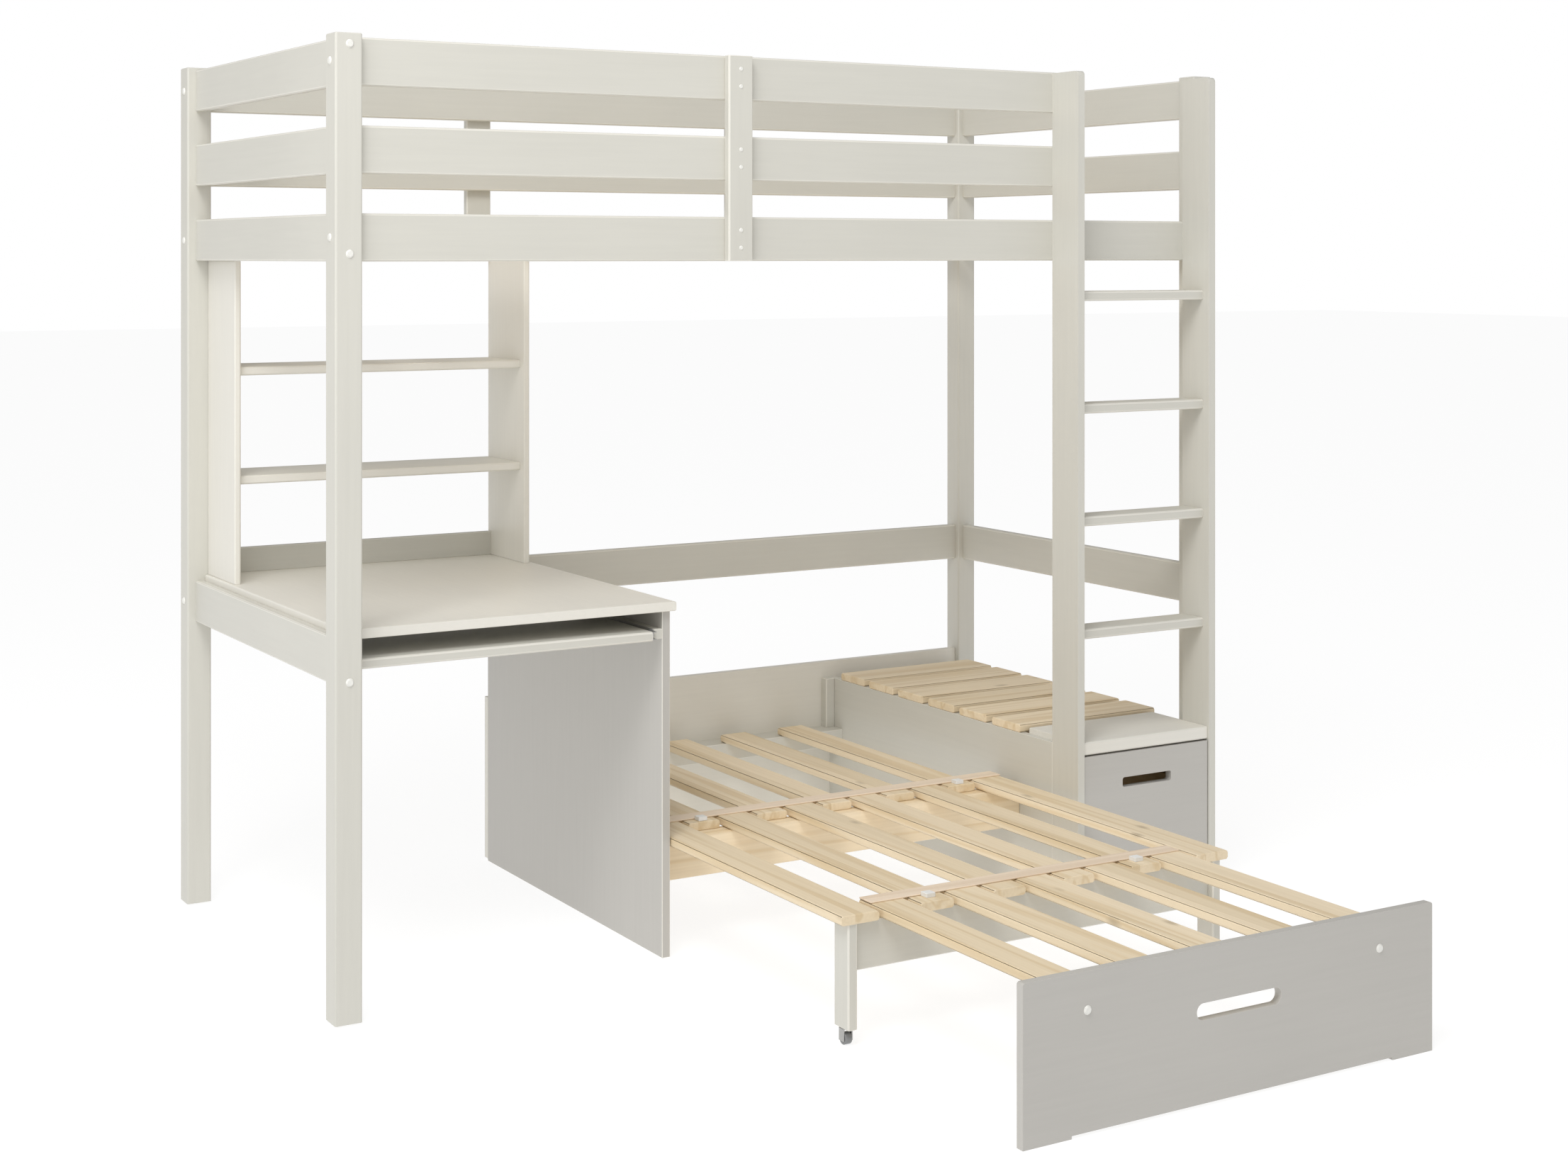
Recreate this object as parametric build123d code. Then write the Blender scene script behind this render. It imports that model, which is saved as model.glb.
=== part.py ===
from build123d import *
import os

# Bunk bed with a desk, a bench and a pull-out slatted sofa under the upper bed.
# Millimetres. Sizes are measured from the left face of the left posts (x), the
# front face of the front posts (y) and the floor (z). at() moves a point from
# there to the part's origin, under the middle of the whole footprint.

# Frame
LENGTH = 2070.0
DEPTH = 968.0
HEIGHT = 1800.0
POST = 52.0
POST_EASE = 4.0
GLIDE_TALL = 4.0
GLIDE_RADIUS = 15.0
RAIL_THICK = 20.0
RAIL_TALL = 88.0
RAIL_SET_BACK = 17.5
RAIL_EASE = 2.5
TOP_RAIL_DROP = 6.0
RAIL_PITCH = 160.5
LOWER_RAIL_Z = 609.0
BATTEN_THICK = 20.0
FRONT_BATTEN_WIDE = 55.0
FRONT_BATTEN_X = 842.5
BACK_BATTEN_WIDE = 60.0
BACK_BATTENS = 2

# Bolts, their nuts in the rail ends, and screws
BOLT_HEAD_RADIUS = 8.0
BOLT_HEAD_TALL = 3.0
HEAD_SIDES = 16
HEAD_TAPER = 40.0
SHANK_SIDES = 8
BOLT_SHANK_RADIUS = 3.0
BOLT_IN_RAIL = 40.0
BOLT_CLEARANCE = 0.3
BOLT_TIP_GAP = 2.0
BOLT_OFFSET = 30.0
NUT_RADIUS = 5.0
NUT_LONG = 20.0
SCREW_HEAD_RADIUS = 4.5
SCREW_HEAD_TALL = 1.5
SCREW_SPREAD = 17.5

# Upper bed
LEDGER_WIDE = 20.0
LEDGER_TALL = 26.0
LEDGER_RISE = 1.0
BED_SLAT_WIDE = 70.0
BED_SLAT_THICK = 18.0
BED_SLATS = 13
BED_SLAT_END_GAP = 1.5
BED_SLAT_POST_GAP = 30.0

# Ladder
PLANK_THICK = 18.0
LADDER_WIDE = 349.0
LADDER_PLANK_WIDE = 89.5
LADDER_TOP_DROP = 8.0
LADDER_CORNER = 10.0
RUNG_THICK = 21.0
RUNG_WIDE = 70.0
RUNG_LOW_RISE = 219.0
RUNG_TOP_DROP = 87.0
RUNGS = 4

# Desk
DESK_PANEL_X = 703.5
DESK_PANEL_FRONT_Y = 71.0
DESK_TOP_RISE = 12.0
DESK_TOP_THICK = 19.0
DESK_TOP_RIGHT_X = 729.0
DESK_TOP_FRONT_Y = 58.0
DESK_GAP = 0.5
CLEAT = 20.0
SHELF_SIDE_THICK = 14.0
SHELF_SIDE_LEFT_X = 44.5
SHELF_FRONT_Y = 730.0
SHELF_THICK = 18.0
SHELF_SET_BACK = 20.0
SHELVES = 2
SHELF_LOW_RISE = 206.5
SHELF_PITCH = 228.5
SHELF_STRIP_TALL = 53.0
TRAY_THICK = 19.0
TRAY_DROP = 55.0
TRAY_FRONT_Y = 50.0
TRAY_DEEP = 380.0
TRAY_RUNNER_SET_BACK = 5.0
TRAY_SPACER_THICK = 18.5
TRAY_RUNNER_TALL = 20.0
RUNNER_DEEP = 12.5
RUNNER_SHEET = 1.6
RUNNER_GAP = 0.4
RUNNER_LIP_GAP = 2.0

# Pull-out sofa
SOFA_LEFT_GAP = 3.0
SOFA_RIGHT_GAP = 15.5
SLAT_THICK = 18.0
SLAT_GAP = 8.5
OUTER_SLAT_EXTRA = 8.0
SLAT_EASE = 3.0
REAR_SLATS = 5
LEVEL_GAP = 0.3
REAR_SLAT_Z = 217.0
REAR_SLAT_FRONT_Y = 160.0
REAR_SLAT_BACK_Y = 890.0
MIDDLE_SLAT_LONG = 788.0
MIDDLE_SLAT_FRONT_Y = -562.0
FRONT_SLAT_LONG = 593.0
FRONT_SLAT_FRONT_Y = -1074.0
BACK_PANEL_THICK = 18.0
BACK_PANEL_Z = 5.0
BACK_PANEL_TOP_Z = 377.0
BEAM_THICK = 40.0
BEAM_TALL = 85.0
BEAM_FRONT_Y = 135.0
LEDGE_DEEP = 22.0
LEDGE_TALL = 40.0
APRON_THICK = 20.0
APRON_TALL = 88.0
APRON_SET_BACK = 17.0
LEG_THICK = 20.0
LEG_DEEP = 47.0
LEG_INSET = 16.0
CASTOR_TALL = 30.0
WHEEL_RADIUS = 11.0
WHEEL_WIDE = 14.0
FORK_THICK = 2.5
AXLE_RADIUS = 2.5
AXLE_CLEARANCE = 0.05
FORK_INSET = 3.0
FORK_BELOW_AXLE = 4.0
STRIP_WIDE = 40.0
STRIP_THICK = 3.0
STOP_SIDE = 20.0
STOP_TALL = 8.0
STOP_GAP = 0.4
FRONT_PANEL_THICK = 16.0
FRONT_PANEL_TOP_Z = 261.0
FRONT_PANEL_FOOT = 96.0
FRONT_PANEL_RECESS = 5.0
PANEL_SLOT_LONG = 185.0
PANEL_SLOT_TALL = 28.0
PANEL_SLOT_Z = 156.0
PANEL_BOLT_INSET = 127.5
PANEL_BOLT_Z = 199.0

# Bench with its drawer
BENCH_SLAT_WIDE = 105.0
BENCH_SLAT_PITCH = 127.0
BENCH_SLATS = 6
BENCH_SLAT_FRONT_Y = 135.0
BENCH_PANEL_TOP_Z = 338.0
STEP_TOP_Z = 350.0
STEP_THICK = 28.0
STEP_FRONT_Y = -67.0
STEP_BACK_Y = 125.0
CORNER_CLEAT = 25.0
DRAWER_GAP = 2.5
DRAWER_FRONT_THICK = 18.0
DRAWER_FRONT_Y = -69.0
DRAWER_FRONT_Z = 25.0
DRAWER_FRONT_TOP_Z = 319.0
DRAWER_BOX_TALL = 182.0
DRAWER_BOX_THICK = 14.0
DRAWER_BOX_LONG = 760.0
DRAWER_BOX_Z = 45.0
DRAWER_RUNNER_LONG = 700.0
DRAWER_RUNNER_TALL = 38.0
DRAWER_RUNNER_SET_BACK = 10.0
DRAWER_SLOT_LONG = 136.0
DRAWER_SLOT_TALL = 21.0
DRAWER_SLOT_Z = 254.0
DRAWER_SLOT_CORNER = 5.0

# Places worked out from the sizes above
RIGHT_POST_X = LENGTH - POST
BACK_POST_Y = DEPTH - POST
RAIL_BACK_IN_Y = DEPTH - RAIL_SET_BACK - RAIL_THICK
RAIL_IN = RAIL_SET_BACK + RAIL_THICK
LADDER_RIGHT_X = RIGHT_POST_X - PLANK_THICK
LADDER_LEFT_X = LADDER_RIGHT_X - LADDER_WIDE
BENCH_LEFT_X = LADDER_LEFT_X - PLANK_THICK
LADDER_FRONT_Y = RAIL_SET_BACK - LADDER_PLANK_WIDE
DESK_PANEL_RIGHT_X = DESK_PANEL_X + PLANK_THICK
RAIL_TOP_Z = HEIGHT - TOP_RAIL_DROP
TOP_RAIL_Z = RAIL_TOP_Z - RAIL_TALL
MIDDLE_RAIL_Z = TOP_RAIL_Z - RAIL_PITCH
BED_RAIL_Z = MIDDLE_RAIL_Z - RAIL_PITCH
RUNG_LOW_Z = STEP_TOP_Z + RUNG_LOW_RISE
RUNG_PITCH = (BED_RAIL_Z - RUNG_TOP_DROP - RUNG_LOW_Z) / (RUNGS - 1)
DESK_TOP_Z = LOWER_RAIL_Z + RAIL_TALL + DESK_TOP_RISE
DESK_TOP_UNDER_Z = DESK_TOP_Z - DESK_TOP_THICK
TRAY_Z = DESK_TOP_UNDER_Z - TRAY_DROP
TRAY_SIDE_GAP = TRAY_SPACER_THICK + RUNNER_DEEP
BACK_PANEL_FRONT_Y = RAIL_BACK_IN_Y
MIDDLE_SLAT_Z = REAR_SLAT_Z + LEVEL_GAP
FRONT_SLAT_Z = MIDDLE_SLAT_Z + LEVEL_GAP
MIDDLE_SLAT_BACK_Y = MIDDLE_SLAT_FRONT_Y + MIDDLE_SLAT_LONG
FRONT_SLAT_BACK_Y = FRONT_SLAT_FRONT_Y + FRONT_SLAT_LONG
APRON_FRONT_Y = MIDDLE_SLAT_FRONT_Y + APRON_SET_BACK
SOFA_LEFT_X = DESK_PANEL_RIGHT_X + SOFA_LEFT_GAP
SOFA_RIGHT_X = BENCH_LEFT_X - SOFA_RIGHT_GAP
SOFA_MID_X = (SOFA_LEFT_X + SOFA_RIGHT_X) / 2
COMB_HALF = (SOFA_RIGHT_X - SOFA_LEFT_X) / 2
SLAT_PITCH = (COMB_HALF - OUTER_SLAT_EXTRA + SLAT_GAP / 2) / (REAR_SLATS + 0.5)
SLAT_WIDE = SLAT_PITCH - SLAT_GAP
FRONT_PANEL_FRONT_Y = FRONT_SLAT_FRONT_Y - FRONT_PANEL_THICK
ORIGIN_X = LENGTH / 2
BACK_MOST_Y = max(DEPTH + BOLT_HEAD_TALL, DEPTH - RAIL_SET_BACK + BATTEN_THICK)
ORIGIN_Y = (FRONT_PANEL_FRONT_Y - BOLT_HEAD_TALL + BACK_MOST_Y) / 2


def at(x, y, z):
    """The place of a point, moved to the part's origin."""
    return Pos(x - ORIGIN_X, y - ORIGIN_Y, z)


def board(xs, ys, zs, ease=0.0):
    """A board between two x, two y and two z values, its long edges eased."""
    sizes = [xs[1] - xs[0], ys[1] - ys[0], zs[1] - zs[0]]
    body = Box(*sizes)
    if ease > 0:
        along = (Axis.X, Axis.Y, Axis.Z)[sizes.index(max(sizes))]
        body = chamfer(body.edges().filter_by(along), ease)
    return at((xs[0] + xs[1]) / 2, (ys[0] + ys[1]) / 2, (zs[0] + zs[1]) / 2) * body


def channel(xs, ys, zs, way, sheet):
    """A folded runner of sheet metal: an upright web with a lip at its top and bottom.

    The web is the side that way points away from, and the lips point along way.
    """
    whole = board(xs, ys, zs)
    inside = (xs[0] + sheet, xs[1] + sheet) if way > 0 else (xs[0] - sheet, xs[1] - sheet)
    return whole - board(inside, (ys[0] - 1, ys[1] + 1), (zs[0] + sheet, zs[1] - sheet))


def rod(x, y, z, direction, radius, long):
    """A round bar that starts at a point and runs along one signed axis."""
    plane = Plane(origin=(0, 0, 0), z_dir=direction)
    bar = extrude(plane * Circle(radius), amount=long)
    return at(x, y, z) * bar


def bar(x, y, z, direction, radius, long, sides, taper=0):
    """A bar of a few flat sides, for small pieces and for what lies in the wood."""
    plane = Plane(origin=(0, 0, 0), z_dir=direction)
    return at(x, y, z) * extrude(plane * RegularPolygon(radius, sides), amount=long, taper=taper)


def head(x, y, z, direction, radius, tall):
    """A low head that stands on a face, points out of it and narrows to its top."""
    return bar(x, y, z, direction, radius, tall, HEAD_SIDES, HEAD_TAPER)


def joint_bolts():
    """Every frame bolt: where its head sits on a post and the way the head points."""
    side_z = RAIL_TALL / 2
    front_y = RAIL_SET_BACK + RAIL_THICK / 2
    back_y = DEPTH - front_y
    found = []
    for y, levels in ((front_y, (TOP_RAIL_Z, BED_RAIL_Z)), (back_y, (TOP_RAIL_Z, BED_RAIL_Z, LOWER_RAIL_Z))):
        for z in levels:
            found.append(((0, y, z + side_z), (-1, 0, 0)))
            if y == back_y or z == BED_RAIL_Z:
                found.append(((LENGTH, y, z + side_z), (1, 0, 0)))
    for x in (front_y, LENGTH - front_y):
        for z in (TOP_RAIL_Z + BOLT_OFFSET, BED_RAIL_Z - BOLT_OFFSET, LOWER_RAIL_Z - BOLT_OFFSET):
            found.append(((x, 0, z + side_z), (0, -1, 0)))
            found.append(((x, DEPTH, z + side_z), (0, 1, 0)))
    return found


def into_rail(place, out, radius, start, end):
    """A bar on a bolt's axis, from one depth behind its head to another."""
    x = place[0] - out[0] * start
    y = place[1] - out[1] * start
    return bar(x, y, place[2], (-out[0], -out[1], 0), radius, end - start, SHANK_SIDES)


def bolt_holes():
    """The clearance hole of every frame bolt and the bore of its nut in the rail's end."""
    holes = []
    for place, out in joint_bolts():
        holes.append(into_rail(place, out, BOLT_SHANK_RADIUS + BOLT_CLEARANCE, 0, POST + BOLT_IN_RAIL))
        holes.append(into_rail(place, out, NUT_RADIUS + BOLT_CLEARANCE, POST, POST + NUT_LONG))
    return holes


HOLES = bolt_holes()


def drill(body):
    """Cut the bolt holes that pass through a post or a rail."""
    box = body.bounding_box()
    for hole in HOLES:
        other = hole.bounding_box()
        apart = (
            box.max.X < other.min.X or other.max.X < box.min.X
            or box.max.Y < other.min.Y or other.max.Y < box.min.Y
            or box.max.Z < other.min.Z or other.max.Z < box.min.Z
        )
        if not apart:
            body = body - hole
    return body


def frame_bolts():
    """Bolts through the posts into the rail ends."""
    made = []
    for place, out in joint_bolts():
        shank = into_rail(place, out, BOLT_SHANK_RADIUS, 0, POST + BOLT_IN_RAIL - BOLT_TIP_GAP)
        made.append(head(*place, out, BOLT_HEAD_RADIUS, BOLT_HEAD_TALL) + shank)
    return made


def barrel_nuts():
    """A threaded barrel in the end of each rail, which its bolt screws into."""
    made = []
    for place, out in joint_bolts():
        nut = into_rail(place, out, NUT_RADIUS, POST, POST + NUT_LONG)
        bore = into_rail(place, out, BOLT_SHANK_RADIUS + BOLT_CLEARANCE, 0, POST + BOLT_IN_RAIL)
        made.append(nut - bore)
    return made


def post(x, y):
    """A corner post with rounded arrises and an eased top."""
    tall = HEIGHT - GLIDE_TALL
    body = Box(POST, POST, tall)
    body = fillet(body.edges().filter_by(Axis.Z), POST_EASE)
    body = chamfer(body.faces().sort_by(Axis.Z)[-1].edges(), POST_EASE / 2)
    return drill(at(x + POST / 2, y + POST / 2, GLIDE_TALL + tall / 2) * body)


def post_glides():
    """A plastic glide under each post."""
    made = []
    for x in (POST / 2, LENGTH - POST / 2):
        for y in (POST / 2, DEPTH - POST / 2):
            made.append(bar(x, y, 0, (0, 0, 1), GLIDE_RADIUS, GLIDE_TALL, HEAD_SIDES))
    return made


def long_rail(y, z, x_end):
    """A rail along the bed's length, from the left posts to a chosen end."""
    return drill(board((POST, x_end), (y, y + RAIL_THICK), (z, z + RAIL_TALL), RAIL_EASE))


def end_rail(x, z):
    """A rail across one end, between the front and back posts."""
    return drill(board((x, x + RAIL_THICK), (POST, BACK_POST_Y), (z, z + RAIL_TALL), RAIL_EASE))


def guard_batten(x, y, wide):
    """An upright batten that ties the three rails of one side together."""
    return board((x - wide / 2, x + wide / 2), (y, y + BATTEN_THICK), (BED_RAIL_Z, RAIL_TOP_Z), RAIL_EASE)


def back_battens():
    """The two upright battens on the back rails, evenly spaced."""
    made = []
    for i in range(BACK_BATTENS):
        x = LENGTH * (i + 1) / (BACK_BATTENS + 1)
        made.append(guard_batten(x, DEPTH - RAIL_SET_BACK, BACK_BATTEN_WIDE))
    return made


def batten_screws():
    """Two domed screws through the front batten into each rail."""
    made = []
    face_y = RAIL_SET_BACK - BATTEN_THICK
    for level in (TOP_RAIL_Z, MIDDLE_RAIL_Z, BED_RAIL_Z):
        for side in (-SCREW_SPREAD, SCREW_SPREAD):
            z = level + RAIL_TALL / 2 + side
            made.append(head(FRONT_BATTEN_X, face_y, z, (0, -1, 0), SCREW_HEAD_RADIUS, SCREW_HEAD_TALL))
    return made


def bed_ledgers():
    """A ledger inside each long bed rail that carries the slats."""
    zs = (BED_RAIL_Z + LEDGER_RISE, BED_RAIL_Z + LEDGER_RISE + LEDGER_TALL)
    xs = (POST, RIGHT_POST_X)
    front = board(xs, (RAIL_IN, RAIL_IN + LEDGER_WIDE), zs)
    back = board(xs, (RAIL_BACK_IN_Y - LEDGER_WIDE, RAIL_BACK_IN_Y), zs)
    return [front, back]


def bed_slats():
    """Pine slats across the upper bed, evenly spaced between the posts."""
    z = BED_RAIL_Z + LEDGER_RISE + LEDGER_TALL
    first = POST + BED_SLAT_POST_GAP
    last = RIGHT_POST_X - BED_SLAT_POST_GAP - BED_SLAT_WIDE
    ys = (RAIL_IN + BED_SLAT_END_GAP, RAIL_BACK_IN_Y - BED_SLAT_END_GAP)
    made = []
    for i in range(BED_SLATS):
        x = first + (last - first) * i / (BED_SLATS - 1)
        made.append(board((x, x + BED_SLAT_WIDE), ys, (z, z + BED_SLAT_THICK), SLAT_EASE))
    return made


def ladder_side(x):
    """A tall side plank of the ladder, its front top corner rounded."""
    zs = (0, HEIGHT - LADDER_TOP_DROP)
    body = board((x, x + PLANK_THICK), (LADDER_FRONT_Y, RAIL_SET_BACK), zs)
    edges = body.edges().filter_by(Axis.X).group_by(Axis.Z)[-1].sort_by(Axis.Y)
    return fillet(edges[0], LADDER_CORNER)


def ladder_rungs():
    """Flat rungs between the ladder's side planks."""
    made = []
    for i in range(RUNGS):
        z = RUNG_LOW_Z + i * RUNG_PITCH
        ys = (RAIL_SET_BACK - RUNG_WIDE, RAIL_SET_BACK)
        made.append(board((LADDER_LEFT_X, LADDER_RIGHT_X), ys, (z, z + RUNG_THICK), RAIL_EASE))
    return made


def desk_top():
    """The desktop, notched round the back left post."""
    xs = (RAIL_IN + DESK_GAP, DESK_TOP_RIGHT_X)
    ys = (DESK_TOP_FRONT_Y, RAIL_BACK_IN_Y - DESK_GAP)
    top = board(xs, ys, (DESK_TOP_UNDER_Z, DESK_TOP_Z), RAIL_EASE)
    notch = board((0, POST + DESK_GAP), (BACK_POST_Y - DESK_GAP, DEPTH), (0, DESK_TOP_Z + POST))
    return top - notch


def desk_side_panel():
    """The panel under the desktop's right end, down to the floor."""
    xs = (DESK_PANEL_X, DESK_PANEL_RIGHT_X)
    return board(xs, (DESK_PANEL_FRONT_Y, BACK_PANEL_FRONT_Y), (0, DESK_TOP_UNDER_Z))


def desk_cleats():
    """Cleats on the left and back rails that carry the desktop."""
    zs = (DESK_TOP_UNDER_Z - CLEAT, DESK_TOP_UNDER_Z)
    left = board((RAIL_IN, RAIL_IN + CLEAT), (POST, BACK_POST_Y), zs)
    back_ys = (RAIL_BACK_IN_Y - CLEAT, RAIL_BACK_IN_Y)
    back = board((RAIL_IN + CLEAT, DESK_PANEL_X), back_ys, zs)
    return [left, back]


def shelf_side(x, back_y):
    """An upright side of the shelf unit, from the desktop to the bed rails."""
    zs = (DESK_TOP_Z, BED_RAIL_Z)
    return board((x, x + SHELF_SIDE_THICK), (SHELF_FRONT_Y, back_y), zs, RAIL_EASE)


def shelf(number):
    """One shelf between the two sides, counted from the desktop up."""
    z = DESK_TOP_Z + SHELF_LOW_RISE + number * SHELF_PITCH
    xs = (SHELF_SIDE_LEFT_X + SHELF_SIDE_THICK, DESK_PANEL_X)
    ys = (SHELF_FRONT_Y + SHELF_SET_BACK, RAIL_BACK_IN_Y - DESK_GAP)
    return board(xs, ys, (z, z + SHELF_THICK), RAIL_EASE)


def shelf_back_strip():
    """The low strip along the back of the desktop."""
    xs = (SHELF_SIDE_LEFT_X + SHELF_SIDE_THICK, DESK_PANEL_X)
    back_y = RAIL_BACK_IN_Y - DESK_GAP
    return board(xs, (back_y - SHELF_THICK, back_y), (DESK_TOP_Z, DESK_TOP_Z + SHELF_STRIP_TALL))


def keyboard_tray():
    """The keyboard board that slides out under the desktop."""
    xs = (RAIL_IN + TRAY_SIDE_GAP, DESK_PANEL_X - TRAY_SIDE_GAP)
    ys = (TRAY_FRONT_Y, TRAY_FRONT_Y + TRAY_DEEP)
    return board(xs, ys, (TRAY_Z, TRAY_Z + TRAY_THICK), RAIL_EASE)


def telescopic(wall, way, start, zs, fixed_ys, moving_ys):
    """A fixed and a moving runner: two nested channels between a wall and a sliding piece."""
    near = wall + way * start
    far = near + way * RUNNER_DEEP
    step = RUNNER_SHEET + RUNNER_GAP
    fixed_xs = sorted((near, far - way * RUNNER_LIP_GAP))
    moving_xs = sorted((near + way * step, far))
    fixed = channel(fixed_xs, fixed_ys, zs, way, RUNNER_SHEET)
    moving = channel(moving_xs, moving_ys, (zs[0] + step, zs[1] - step), -way, RUNNER_SHEET)
    return fixed, moving


def tray_runners():
    """The fixed and moving runner at each side of the keyboard tray."""
    zs = (TRAY_Z, TRAY_Z + TRAY_RUNNER_TALL)
    fixed_ys = (DESK_PANEL_FRONT_Y, DESK_PANEL_FRONT_Y + TRAY_DEEP)
    moving_ys = (TRAY_FRONT_Y + TRAY_RUNNER_SET_BACK, TRAY_FRONT_Y + TRAY_DEEP)
    return [
        telescopic(wall, way, TRAY_SPACER_THICK, zs, fixed_ys, moving_ys)
        for wall, way in ((RAIL_IN, 1), (DESK_PANEL_X, -1))
    ]


def tray_spacers():
    """The blocks that hold the fixed runners off the rail and the panel."""
    ys = (DESK_PANEL_FRONT_Y, DESK_PANEL_FRONT_Y + TRAY_DEEP)
    zs = (TRAY_Z, TRAY_Z + TRAY_RUNNER_TALL)
    left = board((RAIL_IN, RAIL_IN + TRAY_SPACER_THICK), ys, zs)
    right = board((DESK_PANEL_X - TRAY_SPACER_THICK, DESK_PANEL_X), ys, zs)
    return [left, right]


def slat_comb(count, front_y, back_y, z, outer_extra=0.0):
    """Parallel slats two pitches apart, the outer two wider by a chosen extra."""
    made = []
    for i in range(count):
        x = SOFA_MID_X + (2 * i - (count - 1)) * SLAT_PITCH
        left = x - SLAT_WIDE / 2 - (outer_extra if i == 0 else 0)
        right = x + SLAT_WIDE / 2 + (outer_extra if i == count - 1 else 0)
        made.append(board((left, right), (front_y, back_y), (z, z + SLAT_THICK), SLAT_EASE))
    return made


def rear_slats():
    """The fixed slats at the wall side of the sofa."""
    return slat_comb(REAR_SLATS, REAR_SLAT_FRONT_Y, REAR_SLAT_BACK_Y, REAR_SLAT_Z)


def middle_slats():
    """The slats of the middle frame, between the lanes of the others."""
    count = REAR_SLATS + 1
    return slat_comb(count, MIDDLE_SLAT_FRONT_Y, MIDDLE_SLAT_BACK_Y, MIDDLE_SLAT_Z, OUTER_SLAT_EXTRA)


def front_slats():
    """The slats of the front frame, in the lanes of the fixed ones."""
    return slat_comb(REAR_SLATS, FRONT_SLAT_FRONT_Y, FRONT_SLAT_BACK_Y, FRONT_SLAT_Z)


def sofa_back_panel():
    """The panel along the wall, from the desk panel to the right post."""
    xs = (DESK_PANEL_X, RIGHT_POST_X)
    ys = (BACK_PANEL_FRONT_Y, BACK_PANEL_FRONT_Y + BACK_PANEL_THICK)
    return board(xs, ys, (BACK_PANEL_Z, BACK_PANEL_TOP_Z))


def rear_ledge():
    """The ledge on the back panel under the fixed slats' rear ends."""
    ys = (REAR_SLAT_BACK_Y - LEDGE_DEEP, BACK_PANEL_FRONT_Y)
    return board((DESK_PANEL_RIGHT_X, BENCH_LEFT_X), ys, (REAR_SLAT_Z - LEDGE_TALL, REAR_SLAT_Z))


def rear_crossbeam():
    """The beam from the desk panel to the bench that carries the slats' front ends."""
    ys = (BEAM_FRONT_Y, BEAM_FRONT_Y + BEAM_THICK)
    return board((DESK_PANEL_RIGHT_X, BENCH_LEFT_X), ys, (REAR_SLAT_Z - BEAM_TALL, REAR_SLAT_Z))


def strip(half, back_y, slat_z):
    """A thin cross strip on the rear ends of a comb's slats."""
    z = slat_z + SLAT_THICK
    xs = (SOFA_MID_X - half, SOFA_MID_X + half)
    return board(xs, (back_y - STRIP_WIDE, back_y), (z, z + STRIP_THICK))


def stops(offset, front_y, slat_z):
    """A stop block on each outer slat, just in front of the strip that it holds."""
    made = []
    for way in (-1, 1):
        x = SOFA_MID_X + way * offset
        xs = (x - STOP_SIDE / 2, x + STOP_SIDE / 2)
        z = slat_z + SLAT_THICK
        made.append(board(xs, (front_y, front_y + STOP_SIDE), (z, z + STOP_TALL)))
    return made


def leg_x(way):
    """The middle of the middle frame's left (-1) or right (1) leg."""
    return SOFA_MID_X + way * (COMB_HALF - LEG_INSET - LEG_THICK / 2)


def middle_legs():
    """The two legs of the middle frame, above their castors."""
    made = []
    mid_y = APRON_FRONT_Y + APRON_THICK / 2
    for way in (-1, 1):
        x = leg_x(way)
        xs = (x - LEG_THICK / 2, x + LEG_THICK / 2)
        made.append(board(xs, (mid_y - LEG_DEEP / 2, mid_y + LEG_DEEP / 2), (CASTOR_TALL, MIDDLE_SLAT_Z), 2))
    return made


def middle_apron():
    """The board between the two legs, under the middle slats' front ends."""
    xs = (leg_x(-1) + LEG_THICK / 2, leg_x(1) - LEG_THICK / 2)
    ys = (APRON_FRONT_Y, APRON_FRONT_Y + APRON_THICK)
    return board(xs, ys, (MIDDLE_SLAT_Z - APRON_TALL, MIDDLE_SLAT_Z), RAIL_EASE)


def castor_fork(way):
    """A small fixed fork with its axle, under a leg."""
    x = leg_x(way)
    y = APRON_FRONT_Y + APRON_THICK / 2
    inner = WHEEL_WIDE / 2 + LEVEL_GAP
    outer = inner + FORK_THICK
    half = WHEEL_RADIUS - FORK_INSET
    plate = board((x - outer, x + outer), (y - half, y + half), (CASTOR_TALL - FORK_THICK, CASTOR_TALL))
    fork = plate
    for side in (-1, 1):
        xs = sorted((x + side * inner, x + side * outer))
        fork = fork + board(xs, (y - half, y + half), (WHEEL_RADIUS - FORK_BELOW_AXLE, CASTOR_TALL))
    return fork + rod(x - outer, y, WHEEL_RADIUS, (1, 0, 0), AXLE_RADIUS, 2 * outer)


def castor_wheel(way):
    """The roller of one castor."""
    x = leg_x(way) - WHEEL_WIDE / 2
    y = APRON_FRONT_Y + APRON_THICK / 2
    tyre = rod(x, y, WHEEL_RADIUS, (1, 0, 0), WHEEL_RADIUS, WHEEL_WIDE)
    return tyre - rod(x - 1, y, WHEEL_RADIUS, (1, 0, 0), AXLE_RADIUS + AXLE_CLEARANCE, WHEEL_WIDE + 2)


def hand_slot(x, z, face_y, thick, long, tall, corner):
    """The cutter of a rounded hand hole through a front."""
    plane = Plane(origin=(0, 0, 0), x_dir=(1, 0, 0), z_dir=(0, -1, 0))
    shape = plane * RectangleRounded(long, tall, corner)
    return at(x, face_y + thick + 1, z) * extrude(shape, amount=thick + 2)


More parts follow.
